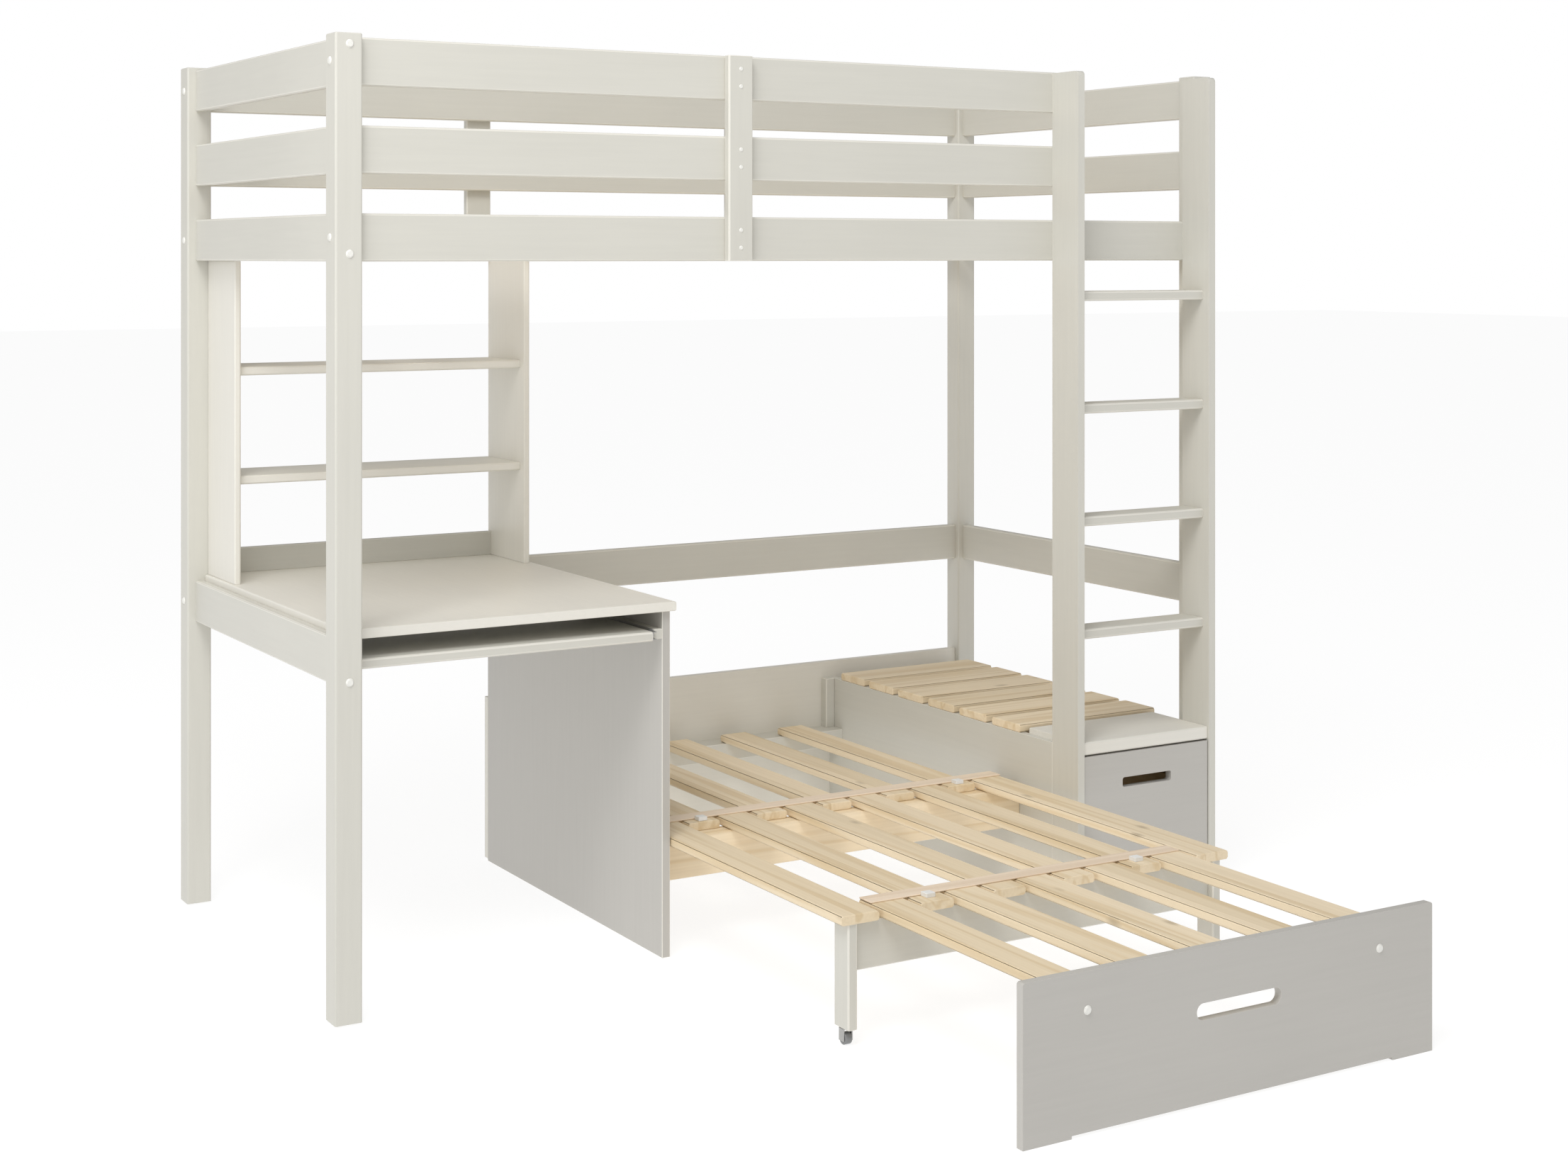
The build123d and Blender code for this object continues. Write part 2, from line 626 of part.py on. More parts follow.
def front_panel():
    """The pull-out front with a hand hole, standing on its two ends."""
    xs = (SOFA_LEFT_X, SOFA_RIGHT_X)
    ys = (FRONT_PANEL_FRONT_Y, FRONT_SLAT_FRONT_Y)
    panel = board(xs, ys, (0, FRONT_PANEL_TOP_Z))
    tops = panel.edges().filter_by(Axis.Y).group_by(Axis.Z)[-1]
    panel = fillet(tops, 2 * RAIL_EASE)
    recess = board((xs[0] + FRONT_PANEL_FOOT, xs[1] - FRONT_PANEL_FOOT), (ys[0] - 1, ys[1] + 1), (-1, FRONT_PANEL_RECESS))
    slot = hand_slot(
        SOFA_MID_X, PANEL_SLOT_Z, ys[0], FRONT_PANEL_THICK, PANEL_SLOT_LONG, PANEL_SLOT_TALL,
        PANEL_SLOT_TALL / 2 - 0.1,
    )
    return panel - recess - slot


def front_ledge():
    """The batten behind the pull-out front that carries the front slats."""
    xs = (SOFA_LEFT_X + FRONT_PANEL_THICK, SOFA_RIGHT_X - FRONT_PANEL_THICK)
    ys = (FRONT_SLAT_FRONT_Y, FRONT_SLAT_FRONT_Y + LEDGE_DEEP)
    return board(xs, ys, (FRONT_SLAT_Z - LEDGE_TALL, FRONT_SLAT_Z))


def front_panel_bolts():
    """Two domed bolts through the pull-out front."""
    made = []
    for x in (SOFA_LEFT_X + PANEL_BOLT_INSET, SOFA_RIGHT_X - PANEL_BOLT_INSET):
        made.append(head(x, FRONT_PANEL_FRONT_Y, PANEL_BOLT_Z, (0, -1, 0), BOLT_HEAD_RADIUS, BOLT_HEAD_TALL))
    return made


def bench_side(x):
    """A bench side panel, from behind the ladder plank to the back panel."""
    return board((x, x + PLANK_THICK), (RAIL_SET_BACK, BACK_PANEL_FRONT_Y), (0, BENCH_PANEL_TOP_Z))


def bench_slats():
    """The slats across the top of the bench."""
    made = []
    for i in range(BENCH_SLATS):
        y = BENCH_SLAT_FRONT_Y + i * BENCH_SLAT_PITCH
        zs = (BENCH_PANEL_TOP_Z, BENCH_PANEL_TOP_Z + SLAT_THICK)
        made.append(board((BENCH_LEFT_X, RIGHT_POST_X), (y, y + BENCH_SLAT_WIDE), zs, SLAT_EASE))
    return made


def bench_step_board():
    """The first step of the ladder, at the front of the bench."""
    xs = (LADDER_LEFT_X, LADDER_RIGHT_X)
    return board(xs, (STEP_FRONT_Y, STEP_BACK_Y), (STEP_TOP_Z - STEP_THICK, STEP_TOP_Z), RAIL_EASE)


def bench_corner_cleat():
    """The upright cleat that ties the bench to the back panel."""
    xs = (BENCH_LEFT_X - CORNER_CLEAT, BENCH_LEFT_X)
    ys = (BACK_PANEL_FRONT_Y - CORNER_CLEAT, BACK_PANEL_FRONT_Y)
    return board(xs, ys, (REAR_SLAT_Z, BENCH_PANEL_TOP_Z), 2)


def drawer_front():
    """The drawer's front with its hand slot."""
    xs = (LADDER_LEFT_X + DRAWER_GAP, LADDER_RIGHT_X - DRAWER_GAP)
    ys = (DRAWER_FRONT_Y, DRAWER_FRONT_Y + DRAWER_FRONT_THICK)
    front = board(xs, ys, (DRAWER_FRONT_Z, DRAWER_FRONT_TOP_Z))
    mid = (LADDER_LEFT_X + LADDER_RIGHT_X) / 2
    slot = hand_slot(
        mid, DRAWER_SLOT_Z, ys[0], DRAWER_FRONT_THICK, DRAWER_SLOT_LONG, DRAWER_SLOT_TALL,
        DRAWER_SLOT_CORNER,
    )
    return front - slot


def drawer_box_xs():
    """The drawer box's outer left and right faces."""
    return LADDER_LEFT_X + RUNNER_DEEP, LADDER_RIGHT_X - RUNNER_DEEP


def drawer_box():
    """The sides and the back of the drawer."""
    x0, x1 = drawer_box_xs()
    y0 = DRAWER_FRONT_Y + DRAWER_FRONT_THICK
    y1 = y0 + DRAWER_BOX_LONG
    zs = (DRAWER_BOX_Z, DRAWER_BOX_Z + DRAWER_BOX_TALL)
    left = board((x0, x0 + DRAWER_BOX_THICK), (y0, y1), zs)
    right = board((x1 - DRAWER_BOX_THICK, x1), (y0, y1), zs)
    back = board((x0 + DRAWER_BOX_THICK, x1 - DRAWER_BOX_THICK), (y1 - DRAWER_BOX_THICK, y1), zs)
    return [left, right, back]


def drawer_bottom():
    """The drawer's bottom between its sides, back and front."""
    x0, x1 = drawer_box_xs()
    y0 = DRAWER_FRONT_Y + DRAWER_FRONT_THICK
    ys = (y0, y0 + DRAWER_BOX_LONG - DRAWER_BOX_THICK)
    xs = (x0 + DRAWER_BOX_THICK, x1 - DRAWER_BOX_THICK)
    return board(xs, ys, (DRAWER_BOX_Z, DRAWER_BOX_Z + DRAWER_BOX_THICK / 2))


def drawer_runners():
    """The fixed and moving runner at each side of the drawer."""
    mid_z = DRAWER_BOX_Z + DRAWER_BOX_TALL / 2
    zs = (mid_z - DRAWER_RUNNER_TALL / 2, mid_z + DRAWER_RUNNER_TALL / 2)
    fixed_ys = (RAIL_SET_BACK, RAIL_SET_BACK + DRAWER_RUNNER_LONG)
    front_y = DRAWER_FRONT_Y + DRAWER_FRONT_THICK
    moving_ys = (front_y + DRAWER_RUNNER_SET_BACK, front_y + DRAWER_BOX_LONG)
    return [
        telescopic(wall, way, 0, zs, fixed_ys, moving_ys)
        for wall, way in ((LADDER_LEFT_X, 1), (LADDER_RIGHT_X, -1))
    ]


REAR_STOP_OFFSET = (REAR_SLATS - 1) * SLAT_PITCH
MIDDLE_STOP_OFFSET = (REAR_SLATS - 2) * SLAT_PITCH
REAR_STOP_Y = MIDDLE_SLAT_BACK_Y - STRIP_WIDE - STOP_GAP - STOP_SIDE
MIDDLE_STOP_Y = FRONT_SLAT_BACK_Y - STRIP_WIDE - STOP_GAP - STOP_SIDE
FRONT_STRIP_HALF = REAR_STOP_OFFSET + SLAT_WIDE / 2
FRONT_RAIL_Y = RAIL_SET_BACK
RIGHT_RAIL_X = LENGTH - RAIL_IN

NODES = {
    "post_front_left": post(0, 0),
    "post_front_right": post(RIGHT_POST_X, 0),
    "post_back_left": post(0, BACK_POST_Y),
    "post_back_right": post(RIGHT_POST_X, BACK_POST_Y),
    "post_glides": post_glides(),
    "guard_rail_front_top": long_rail(FRONT_RAIL_Y, TOP_RAIL_Z, LADDER_LEFT_X),
    "guard_rail_front_middle": long_rail(FRONT_RAIL_Y, MIDDLE_RAIL_Z, LADDER_LEFT_X),
    "bed_rail_front": long_rail(FRONT_RAIL_Y, BED_RAIL_Z, RIGHT_POST_X),
    "guard_rail_back_top": long_rail(RAIL_BACK_IN_Y, TOP_RAIL_Z, RIGHT_POST_X),
    "guard_rail_back_middle": long_rail(RAIL_BACK_IN_Y, MIDDLE_RAIL_Z, RIGHT_POST_X),
    "bed_rail_back": long_rail(RAIL_BACK_IN_Y, BED_RAIL_Z, RIGHT_POST_X),
    "lower_rail_back": long_rail(RAIL_BACK_IN_Y, LOWER_RAIL_Z, RIGHT_POST_X),
    "end_guard_rails": [
        end_rail(x, z) for x in (RAIL_SET_BACK, RIGHT_RAIL_X) for z in (TOP_RAIL_Z, MIDDLE_RAIL_Z)
    ],
    "left_end_bed_rail": end_rail(RAIL_SET_BACK, BED_RAIL_Z),
    "left_end_desk_rail": end_rail(RAIL_SET_BACK, LOWER_RAIL_Z),
    "right_end_bed_rail": end_rail(RIGHT_RAIL_X, BED_RAIL_Z),
    "right_end_lower_rail": end_rail(RIGHT_RAIL_X, LOWER_RAIL_Z),
    "guard_battens": [
        guard_batten(FRONT_BATTEN_X, RAIL_SET_BACK - BATTEN_THICK, FRONT_BATTEN_WIDE),
        *back_battens(),
    ],
    "frame_bolts": frame_bolts(),
    "barrel_nuts": barrel_nuts(),
    "batten_screws": batten_screws(),
    "bed_ledgers": bed_ledgers(),
    "bed_slats": bed_slats(),
    "ladder_side_left": ladder_side(BENCH_LEFT_X),
    "ladder_side_right": ladder_side(LADDER_RIGHT_X),
    "ladder_rungs": ladder_rungs(),
    "desk_top": desk_top(),
    "desk_side_panel": desk_side_panel(),
    "desk_cleats": desk_cleats() + tray_spacers(),
    "shelf_sides": [
        shelf_side(SHELF_SIDE_LEFT_X, BACK_POST_Y),
        shelf_side(DESK_PANEL_X, RAIL_BACK_IN_Y - DESK_GAP),
    ],
    "shelves": [shelf(number) for number in range(SHELVES)],
    "shelf_back_strip": shelf_back_strip(),
    "keyboard_tray": keyboard_tray(),
    "tray_runners_moving": [moving for fixed, moving in tray_runners()],
    "tray_runners_fixed": [fixed for fixed, moving in tray_runners()],
    "sofa_back_panel": sofa_back_panel(),
    "rear_ledge": rear_ledge(),
    "rear_crossbeam": rear_crossbeam(),
    "rear_slats": rear_slats(),
    "middle_slats": middle_slats(),
    "middle_apron": middle_apron(),
    "middle_legs": middle_legs(),
    "middle_strip": strip(COMB_HALF, MIDDLE_SLAT_BACK_Y, MIDDLE_SLAT_Z),
    "slat_stops_rear": stops(REAR_STOP_OFFSET, REAR_STOP_Y, REAR_SLAT_Z),
    "slat_stops_middle": stops(MIDDLE_STOP_OFFSET, MIDDLE_STOP_Y, MIDDLE_SLAT_Z),
    "castor_forks": [castor_fork(-1), castor_fork(1)],
    "castor_wheel_left": castor_wheel(-1),
    "castor_wheel_right": castor_wheel(1),
    "front_slats": front_slats(),
    "front_panel": front_panel(),
    "front_ledge": front_ledge(),
    "front_strip": strip(FRONT_STRIP_HALF, FRONT_SLAT_BACK_Y, FRONT_SLAT_Z),
    "front_panel_bolts": front_panel_bolts(),
    "bench_sides": [bench_side(BENCH_LEFT_X), bench_side(LADDER_RIGHT_X), bench_corner_cleat()],
    "bench_step_board": bench_step_board(),
    "bench_slats": bench_slats(),
    "drawer_front": drawer_front(),
    "drawer_box": [*drawer_box(), drawer_bottom()],
    "drawer_runners_fixed": [fixed for fixed, moving in drawer_runners()],
    "drawer_runners_moving": [moving for fixed, moving in drawer_runners()],
}

os.makedirs("parts", exist_ok=True)
for name, shape in NODES.items():
    solids = shape if isinstance(shape, list) else [shape]
    whole = Compound(children=[solid for item in solids for solid in item.solids()])
    whole.label = name
    export_step(whole, "parts/" + name + ".step")
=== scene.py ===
import math

import bmesh
import bpy
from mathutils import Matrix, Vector

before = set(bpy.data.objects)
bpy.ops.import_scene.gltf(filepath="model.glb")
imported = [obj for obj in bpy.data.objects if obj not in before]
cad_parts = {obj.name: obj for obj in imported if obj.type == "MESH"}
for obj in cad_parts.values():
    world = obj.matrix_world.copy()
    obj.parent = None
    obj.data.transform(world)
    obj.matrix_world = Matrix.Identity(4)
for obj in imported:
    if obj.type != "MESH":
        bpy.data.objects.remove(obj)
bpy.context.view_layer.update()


# Materials

def srgb(r, g, b):
    """A linear colour from 0 to 255 values."""
    def linear(c):
        c = c / 255
        return c / 12.92 if c <= 0.04045 else ((c + 0.055) / 1.055) ** 2.4
    return (linear(r), linear(g), linear(b), 1.0)


class Nodes:
    """A new node material with short calls to add and link nodes."""

    def __init__(self, name):
        self.material = bpy.data.materials.new(name)
        self.material.use_nodes = True
        self.tree = self.material.node_tree
        self.shader = self.tree.nodes["Principled BSDF"]

    def add(self, kind, inputs=(), **settings):
        node = self.tree.nodes.new(kind)
        for key, value in settings.items():
            setattr(node, key, value)
        for key, value in dict(inputs).items():
            if isinstance(value, bpy.types.NodeSocket):
                self.tree.links.new(value, node.inputs[key])
            else:
                node.inputs[key].default_value = value
        return node

    def link(self, socket, name):
        self.tree.links.new(socket, self.shader.inputs[name])

    def ramp(self, fac, stops):
        node = self.add("ShaderNodeValToRGB", {0: fac})
        elements = node.color_ramp.elements
        while len(elements) < len(stops):
            elements.new(0.5)
        for element, (place, colour) in zip(elements, stops):
            element.position = place
            element.color = colour
        return node.outputs["Color"]


def shade(colour, factor):
    """A colour made lighter or darker."""
    return (colour[0] * factor, colour[1] * factor, colour[2] * factor, 1.0)


def stretch(nodes, place, axis, across, along):
    """A place scaled so that a texture on it runs long along one axis."""
    scale = [across, across, across]
    scale["XYZ".index(axis)] = along
    return nodes.add("ShaderNodeMapping", {"Vector": place, "Scale": scale}).outputs["Vector"]


def mix_colours(nodes, factor, first, second, blend="MIX"):
    """A colour mix, with its sockets found by their place."""
    node = nodes.tree.nodes.new("ShaderNodeMix")
    node.data_type = "RGBA"
    node.blend_type = blend
    for index, value in ((0, factor), (6, first), (7, second)):
        if isinstance(value, bpy.types.NodeSocket):
            nodes.tree.links.new(value, node.inputs[index])
        else:
            node.inputs[index].default_value = value
    return node.outputs[2]


def painted(name, colour, axis, rough):
    """Satin paint over wood: faint grain in relief, a soft mottle and uneven sheen."""
    nodes = Nodes(name)
    plain = nodes.add("ShaderNodeTexCoord").outputs["Object"]
    place = stretch(nodes, plain, axis, 60.0, 2.5)
    grain = nodes.add(
        "ShaderNodeTexNoise",
        {"Vector": place, "Scale": 2.0, "Detail": 6.0, "Roughness": 0.6},
    )
    cloud = nodes.add("ShaderNodeTexNoise", {"Vector": plain, "Scale": 3.0, "Detail": 3.0})
    both = nodes.add("ShaderNodeMath", {0: grain.outputs["Fac"], 1: cloud.outputs["Fac"]}, operation="ADD")
    half = nodes.add("ShaderNodeMath", {0: both.outputs[0], 1: 0.5}, operation="MULTIPLY")
    tone = nodes.ramp(half.outputs[0], [(0.36, shade(colour, 0.975)), (0.62, shade(colour, 1.015))])
    nodes.link(tone, "Base Color")
    sheen = nodes.add(
        "ShaderNodeMapRange",
        {"Value": cloud.outputs["Fac"], "To Min": rough - 0.05, "To Max": rough + 0.07},
    )
    nodes.link(sheen.outputs["Result"], "Roughness")
    bump = nodes.add("ShaderNodeBump", {"Strength": 0.12, "Distance": 0.0006, "Height": grain.outputs["Fac"]})
    nodes.link(bump.outputs["Normal"], "Normal")
    return nodes.material


def pine_wood(name, light, dark, axis, pitch_axis, pitch):
    """Lacquered pine: rings along the grain, a few knots, each board a little its own.

    Boards side by side along pitch_axis, one to each pitch, get a grain and tint each.
    """
    nodes = Nodes(name)
    plain = nodes.add("ShaderNodeTexCoord").outputs["Object"]
    parts = nodes.add("ShaderNodeSeparateXYZ", {0: plain})
    lane = nodes.add("ShaderNodeMath", {0: parts.outputs[pitch_axis], 1: pitch}, operation="DIVIDE")
    lane = nodes.add("ShaderNodeMath", {0: lane.outputs[0]}, operation="ROUND")
    seed = nodes.add("ShaderNodeTexWhiteNoise", {"W": lane.outputs[0]}, noise_dimensions="1D")
    shift = nodes.add(
        "ShaderNodeVectorMath",
        {0: seed.outputs["Color"], 1: (7.0, 7.0, 7.0)},
        operation="MULTIPLY",
    )
    moved = nodes.add("ShaderNodeVectorMath", {0: plain, 1: shift.outputs[0]}, operation="ADD").outputs[0]
    long_rings = stretch(nodes, moved, axis, 16.0, 0.55)
    rings = nodes.add(
        "ShaderNodeTexNoise",
        {"Vector": long_rings, "Scale": 1.0, "Detail": 2.0, "Roughness": 0.45, "Distortion": 0.25},
    )
    bands = nodes.add("ShaderNodeMath", {0: rings.outputs["Fac"], 1: 30.0}, operation="MULTIPLY")
    bands = nodes.add("ShaderNodeMath", {0: bands.outputs[0]}, operation="SINE")
    bands = nodes.add("ShaderNodeMapRange", {"Value": bands.outputs[0], "From Min": -1.0, "From Max": 1.0})
    fine = stretch(nodes, moved, axis, 190.0, 3.0)
    fibre = nodes.add("ShaderNodeTexNoise", {"Vector": fine, "Scale": 1.0, "Detail": 3.0})
    cells = stretch(nodes, moved, axis, 9.0, 4.0)
    knots = nodes.add("ShaderNodeTexVoronoi", {"Vector": cells, "Scale": 1.0})
    knot = nodes.add(
        "ShaderNodeMapRange",
        {
            "Value": knots.outputs["Distance"],
            "From Min": 0.02,
            "From Max": 0.1,
            "To Min": 0.75,
            "To Max": 0.0,
        },
    ).outputs["Result"]
    wood = nodes.ramp(bands.outputs["Result"], [(0.0, dark), (0.45, light), (1.0, shade(light, 1.02))])
    streak = nodes.ramp(
        fibre.outputs["Fac"],
        [(0.3, (0.95, 0.94, 0.92, 1.0)), (0.7, (1.02, 1.02, 1.02, 1.0))],
    )
    wood = mix_colours(nodes, 1.0, wood, streak, "MULTIPLY")
    tint = nodes.ramp(
        seed.outputs["Value"],
        [(0.0, (0.94, 0.93, 0.91, 1.0)), (1.0, (1.03, 1.03, 1.04, 1.0))],
    )
    tinted = mix_colours(nodes, 1.0, wood, tint, "MULTIPLY")
    nodes.link(mix_colours(nodes, knot, tinted, shade(dark, 0.6)), "Base Color")
    bump = nodes.add("ShaderNodeBump", {"Strength": 0.15, "Distance": 0.0004, "Height": fibre.outputs["Fac"]})
    nodes.link(bump.outputs["Normal"], "Normal")
    nodes.shader.inputs["Roughness"].default_value = 0.45
    return nodes.material


def moulded(name, colour, rough, metal=0.0):
    """Moulded plastic or plated metal with a very fine uneven surface."""
    nodes = Nodes(name)
    plain = nodes.add("ShaderNodeTexCoord").outputs["Object"]
    fine = nodes.add("ShaderNodeTexNoise", {"Vector": plain, "Scale": 400.0, "Detail": 3.0})
    tone = nodes.ramp(fine.outputs["Fac"], [(0.3, shade(colour, 0.96)), (0.7, shade(colour, 1.02))])
    nodes.link(tone, "Base Color")
    bump = nodes.add("ShaderNodeBump", {"Strength": 0.1, "Distance": 0.0002, "Height": fine.outputs["Fac"]})
    nodes.link(bump.outputs["Normal"], "Normal")
    nodes.shader.inputs["Roughness"].default_value = rough
    nodes.shader.inputs["Metallic"].default_value = metal
    return nodes.material


PAINT = srgb(208, 206, 197)
# Painted light: a lighter copy of the same paint, for the desk top, shelves, step board and sofa back, so
# these faces read as better lit
LIT_PAINT = srgb(229, 226, 217)
PANEL = srgb(188, 185, 179)
PINE_LIGHT = srgb(237, 220, 190)
PINE_DARK = srgb(227, 206, 170)
STRIP_LIGHT = srgb(240, 222, 200)
STRIP_DARK = srgb(232, 212, 188)
# Paler paint for the rounded arrises: a painted highlight where the edges catch the light
EDGE_HIGHLIGHT_PAINT = srgb(226, 223, 214)
SATIN = 0.42
SMOOTH = 0.36

# Width of the lane that gets one grain and one tint: a board and the gap beside it
SOFA_SLAT_PITCH = 0.0805
BENCH_SLAT_PITCH = 0.127
BED_SLAT_PITCH = 0.153
ONE_BOARD = 2.0

paint = {axis: painted("paint_" + axis, PAINT, axis, SATIN) for axis in "XYZ"}
# Lit copies of the paint: painted light on faces the lamps light too little
lit_paint = {axis: painted("lit_paint_" + axis, LIT_PAINT, axis, SATIN) for axis in "XYZ"}
panel = {axis: painted("panel_" + axis, PANEL, axis, SMOOTH) for axis in "XYZ"}
pine_y = pine_wood("pine_along_y", PINE_LIGHT, PINE_DARK, "Y", "X", SOFA_SLAT_PITCH)
pine_x = pine_wood("pine_along_x", PINE_LIGHT, PINE_DARK, "X", "Y", BENCH_SLAT_PITCH)
bed_pine = pine_wood("pine_bed_slats", PINE_LIGHT, PINE_DARK, "Y", "X", BED_SLAT_PITCH)
strip_wood = pine_wood("strip_wood", STRIP_LIGHT, STRIP_DARK, "X", "Y", ONE_BOARD)
zinc = moulded("zinc_steel", srgb(176, 176, 174), 0.32, 1.0)
white_cap = moulded("white_cap", srgb(232, 231, 225), 0.28)
white_plastic = moulded("white_plastic", srgb(236, 236, 234), 0.45)
castor_grey = moulded("castor_grey", srgb(132, 133, 134), 0.4)

LOOKS = {
    "post_front_left": paint["Z"],
    "post_front_right": paint["Z"],
    "post_back_left": paint["Z"],
    "post_back_right": paint["Z"],
    "post_glides": white_plastic,
    "guard_rail_front_top": paint["X"],
    "guard_rail_front_middle": paint["X"],
    "bed_rail_front": paint["X"],
    "guard_rail_back_top": paint["X"],
    "guard_rail_back_middle": paint["X"],
    "bed_rail_back": paint["X"],
    "lower_rail_back": paint["X"],
    "end_guard_rails": paint["Y"],
    "left_end_bed_rail": paint["Y"],
    "left_end_desk_rail": paint["Y"],
    "right_end_bed_rail": paint["Y"],
    "right_end_lower_rail": paint["Y"],
    "guard_battens": paint["Z"],
    "frame_bolts": white_cap,
    "barrel_nuts": zinc,
    "batten_screws": white_cap,
    "bed_ledgers": pine_x,
    "bed_slats": bed_pine,
    "ladder_side_left": paint["Z"],
    "ladder_side_right": paint["Z"],
    "ladder_rungs": paint["X"],
    "desk_top": lit_paint["Y"],
    "desk_side_panel": panel["Z"],
    "desk_cleats": paint["Y"],
    "shelf_sides": lit_paint["Z"],
    "shelves": lit_paint["X"],
    "shelf_back_strip": paint["X"],
    "keyboard_tray": paint["X"],
    "tray_runners_moving": zinc,
    "tray_runners_fixed": zinc,
    "sofa_back_panel": lit_paint["X"],
    "rear_ledge": paint["X"],
    "rear_crossbeam": pine_x,
    "rear_slats": pine_y,
    "middle_slats": pine_y,
    "middle_apron": paint["X"],
    "middle_legs": paint["Z"],
    "middle_strip": strip_wood,
    "slat_stops_rear": white_plastic,
    "slat_stops_middle": white_plastic,
    "castor_forks": zinc,
    "castor_wheel_left": castor_grey,
    "castor_wheel_right": castor_grey,
    "front_slats": pine_y,
    "front_panel": panel["X"],
    "front_ledge": paint["X"],
    "front_strip": strip_wood,
    "front_panel_bolts": white_cap,
    "bench_sides": paint["Y"],
    "bench_step_board": lit_paint["X"],
    "bench_slats": pine_x,
    "drawer_front": panel["X"],
    "drawer_box": pine_y,
    "drawer_runners_fixed": zinc,
    "drawer_runners_moving": zinc,
}


# Sheet metal, which has no arris to round, and the drawer front, where rounding leaves creases
PLAIN = (
    "tray_runners_fixed",
    "tray_runners_moving",
    "drawer_runners_fixed",
    "drawer_runners_moving",
    "drawer_front",
)
ARRIS = 0.0013
SLAT_ARRIS = 0.0028
HEAD_ARRIS = 0.0011
SAME_POINT = 1e-5
SHARP = math.radians(25)

# Painted highlight for the arrises of painted pieces
edge_highlight_paint = painted("edge_highlight_paint", EDGE_HIGHLIGHT_PAINT, "X", SMOOTH)
PAINTED = [look for group in (paint, lit_paint, panel) for look in group.values()]


def arris_width(look):
    """How far the edges of a piece are rounded, by what it is made of."""
    if look is white_cap:
        return HEAD_ARRIS
    if look in (pine_x, pine_y):
        return SLAT_ARRIS
    return ARRIS


def dress(name, look):
    """Give a node its material and small rounded arrises; on painted pieces the arrises get a paler paint as
    a painted highlight.
    """
    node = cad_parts[name]
    node.data.materials.clear()
    node.data.materials.append(look)
    if name in PLAIN:
        return
    weld = node.modifiers.new("weld", "WELD")
    weld.merge_threshold = SAME_POINT
    arris = node.modifiers.new("arris", "BEVEL")
    arris.width = arris_width(look)
    arris.segments = 3
    arris.limit_method = "ANGLE"
    arris.angle_limit = SHARP
    arris.harden_normals = True
    # Painted highlight: the arris faces take the paler paint
    if look in PAINTED:
        node.data.materials.append(edge_highlight_paint)
        arris.material = 1


for name, look in LOOKS.items():
    dress(name, look)


# Floor, light and camera

WHITE = (1.0, 1.0, 1.0, 1.0)
FLOOR_HALF = 40
FLOOR_DROP = 0.0005
FLOOR_GREY = (0.26, 0.26, 0.26, 1.0)
FLOOR_GLOW = 0.82
SKY_DARK = 0.24
SKY_BRIGHT = 0.68
SKY_FROM = (-0.55, -0.5, 0.67)
KEY_PLACE = (-2.5, -2.3, 4.8)
KEY_TARGET = (-0.1, -0.2, 0.7)
KEY_WIDTH = 2.2
KEY_POWER = 130
SIDE_PLACE = (-3.5, -0.6, 1.9)
SIDE_TARGET = (-0.6, 0.4, 0.8)
SIDE_WIDTH = 1.8
SIDE_POWER = 13
CAMERA_PLACE = (-2.4729, -3.9183, 1.3953)
CAMERA_TURN = -0.537
LENS = 52.89
SHIFT = (0.00324, -0.2118)


def floor():
    """A plain pale floor, wide enough to fill the view, that glows a little."""
    shape = bmesh.new()
    bmesh.ops.create_grid(shape, x_segments=1, y_segments=1, size=FLOOR_HALF)
    mesh = bpy.data.meshes.new("floor")
    shape.to_mesh(mesh)
    shape.free()
    plane = bpy.data.objects.new("floor", mesh)
    bpy.context.collection.objects.link(plane)
    plane.location.z = -FLOOR_DROP
    nodes = Nodes("floor")
    nodes.shader.inputs["Base Color"].default_value = FLOOR_GREY
    nodes.shader.inputs["Roughness"].default_value = 0.9
    nodes.shader.inputs["Specular IOR Level"].default_value = 0.0
    nodes.shader.inputs["Emission Color"].default_value = WHITE
    nodes.shader.inputs["Emission Strength"].default_value = FLOOR_GLOW
    mesh.materials.append(nodes.material)


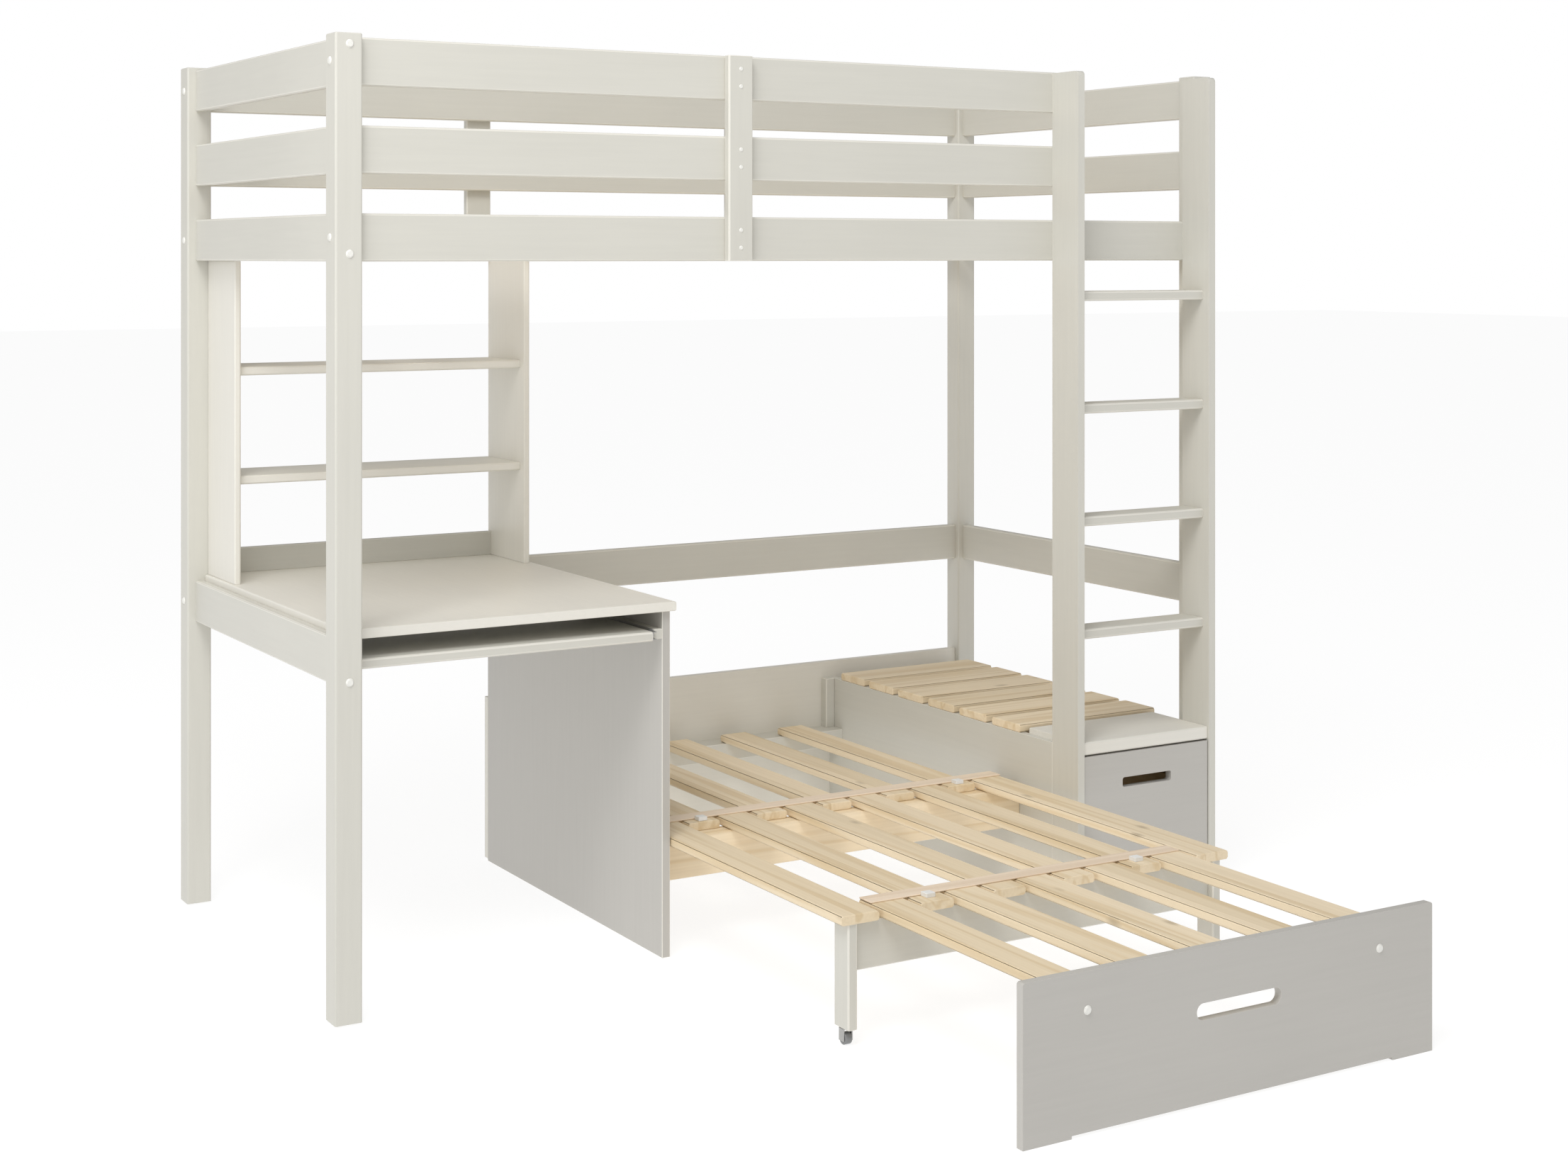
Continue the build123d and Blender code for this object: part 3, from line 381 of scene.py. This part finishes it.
def area_light(name, place, target, width, power):
    """A soft square light that faces a point."""
    data = bpy.data.lights.new(name, "AREA")
    data.shape = "SQUARE"
    data.size = width
    data.energy = power
    light = bpy.data.objects.new(name, data)
    light.location = place
    light.rotation_euler = (Vector(target) - Vector(place)).to_track_quat("-Z", "Y").to_euler()
    bpy.context.collection.objects.link(light)


def surroundings():
    """A soft studio, brighter from above on the left front, and white where it is seen."""
    world = bpy.data.worlds.new("studio")
    world.use_nodes = True
    tree = world.node_tree
    sky = tree.nodes["Background"]
    sky.inputs["Color"].default_value = WHITE
    place = tree.nodes.new("ShaderNodeTexCoord")
    facing = tree.nodes.new("ShaderNodeVectorMath")
    facing.operation = "DOT_PRODUCT"
    facing.inputs[1].default_value = SKY_FROM
    spread = tree.nodes.new("ShaderNodeMapRange")
    spread.inputs["From Min"].default_value = -1.0
    spread.inputs["To Min"].default_value = SKY_DARK
    spread.inputs["To Max"].default_value = SKY_BRIGHT
    tree.links.new(place.outputs["Generated"], facing.inputs[0])
    tree.links.new(facing.outputs["Value"], spread.inputs["Value"])
    tree.links.new(spread.outputs["Result"], sky.inputs["Strength"])
    white = tree.nodes.new("ShaderNodeBackground")
    white.inputs["Color"].default_value = WHITE
    seen = tree.nodes.new("ShaderNodeLightPath")
    either = tree.nodes.new("ShaderNodeMixShader")
    tree.links.new(seen.outputs["Is Camera Ray"], either.inputs[0])
    tree.links.new(sky.outputs[0], either.inputs[1])
    tree.links.new(white.outputs[0], either.inputs[2])
    tree.links.new(either.outputs[0], tree.nodes["World Output"].inputs["Surface"])
    bpy.context.scene.world = world


def photo_camera():
    """The camera, where the photograph's straight edges put it."""
    data = bpy.data.cameras.new("camera")
    data.lens = LENS
    data.sensor_width = 36.0
    data.shift_x, data.shift_y = SHIFT
    data.clip_start = 0.05
    data.clip_end = 200.0
    camera = bpy.data.objects.new("camera", data)
    camera.location = CAMERA_PLACE
    camera.rotation_euler = (math.radians(90), 0.0, CAMERA_TURN)
    bpy.context.collection.objects.link(camera)
    bpy.context.scene.camera = camera


bpy.context.scene.view_settings.view_transform = "Standard"
floor()
surroundings()
area_light("key", KEY_PLACE, KEY_TARGET, KEY_WIDTH, KEY_POWER)
area_light("side", SIDE_PLACE, SIDE_TARGET, SIDE_WIDTH, SIDE_POWER)
photo_camera()
